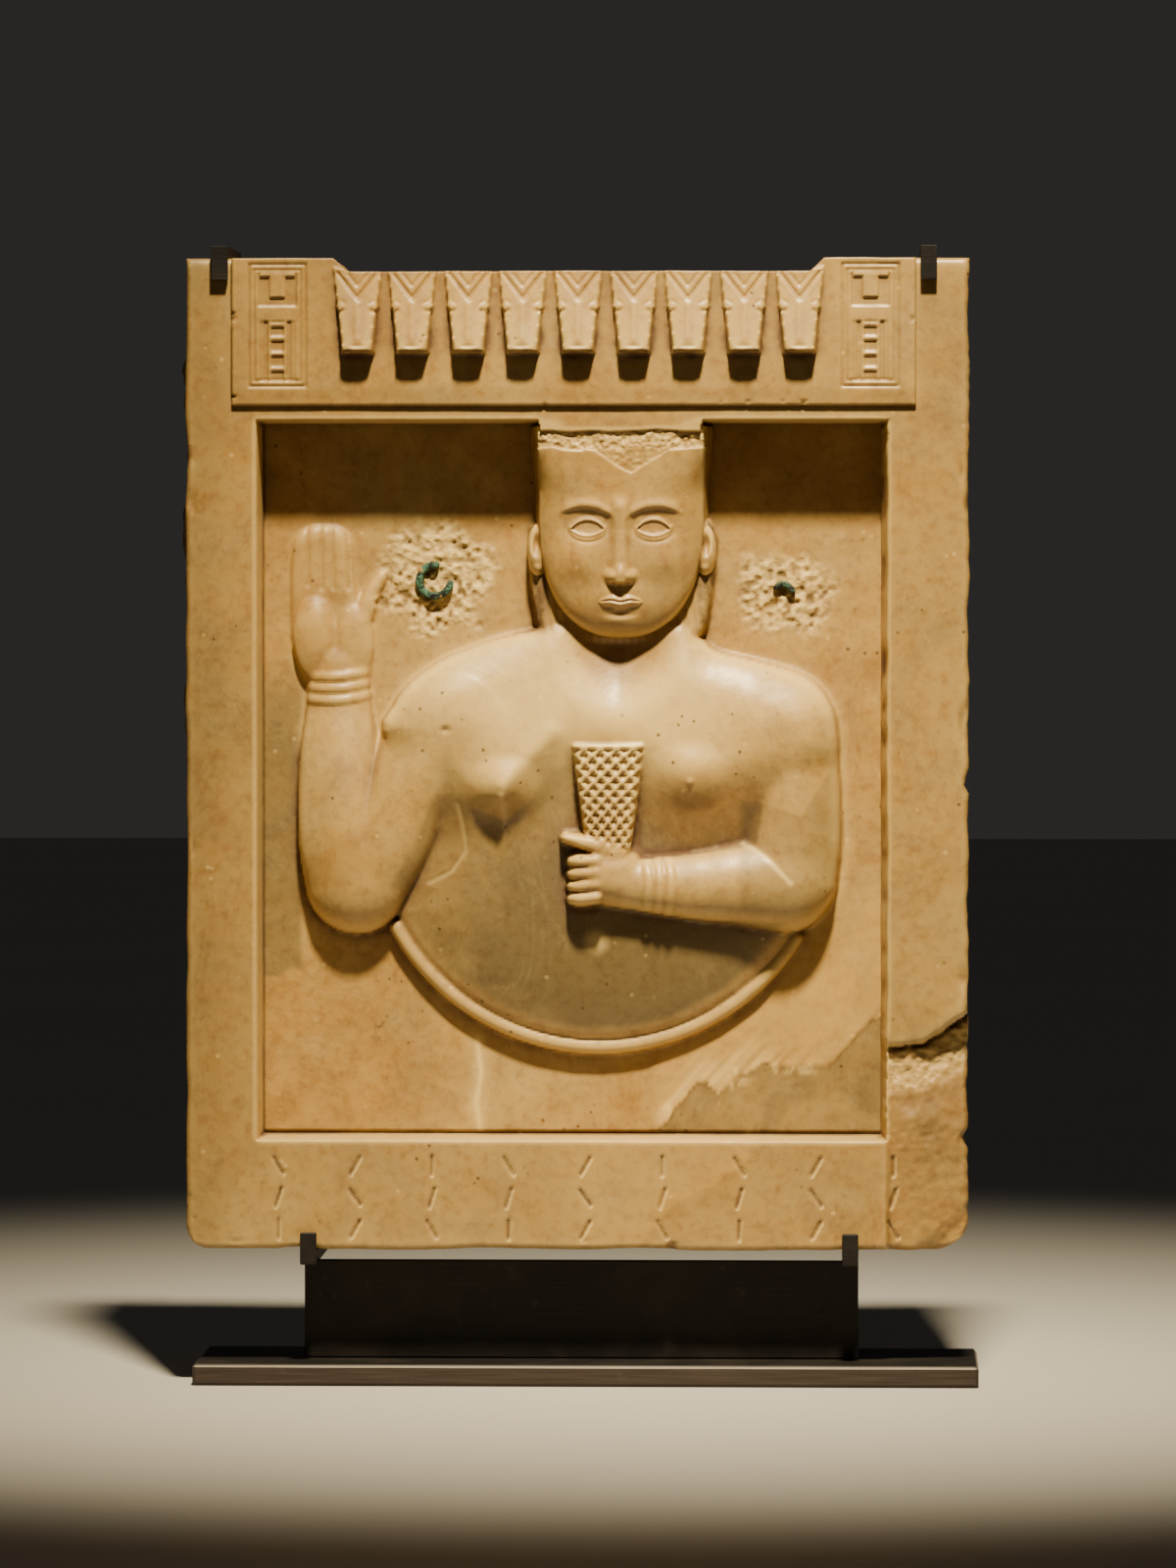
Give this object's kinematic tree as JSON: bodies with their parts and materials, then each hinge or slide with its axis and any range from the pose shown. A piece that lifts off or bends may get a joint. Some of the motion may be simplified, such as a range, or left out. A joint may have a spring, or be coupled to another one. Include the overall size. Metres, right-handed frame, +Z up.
{
  "type": "stele",
  "caption": "Upright alabaster relief stele with a framed half-length figure under a frieze of animal heads, held by a low blackened steel stand.",
  "frame": {"origin": "centre of the base plate's underside, on the surface that the stand rests on", "axes": "+Z up the stele, -Y out of its carved front, +X to the viewer's right"},
  "size_m": [0.2979, 0.0775, 0.4213],
  "materials": {
    "alabaster": "worn, waxy, translucent",
    "bronze": "corroded",
    "steel": "blackened, brushed"
  },
  "bodies": {
    "root": {"stele": "alabaster", "left_bronze_collar": "bronze", "right_bronze_stub": "bronze", "base_plate": "steel", "riser": "steel", "lower_left_clip": "steel", "lower_right_clip": "steel", "left_upright": "steel", "right_upright": "steel"}
  },
  "joints": []
}
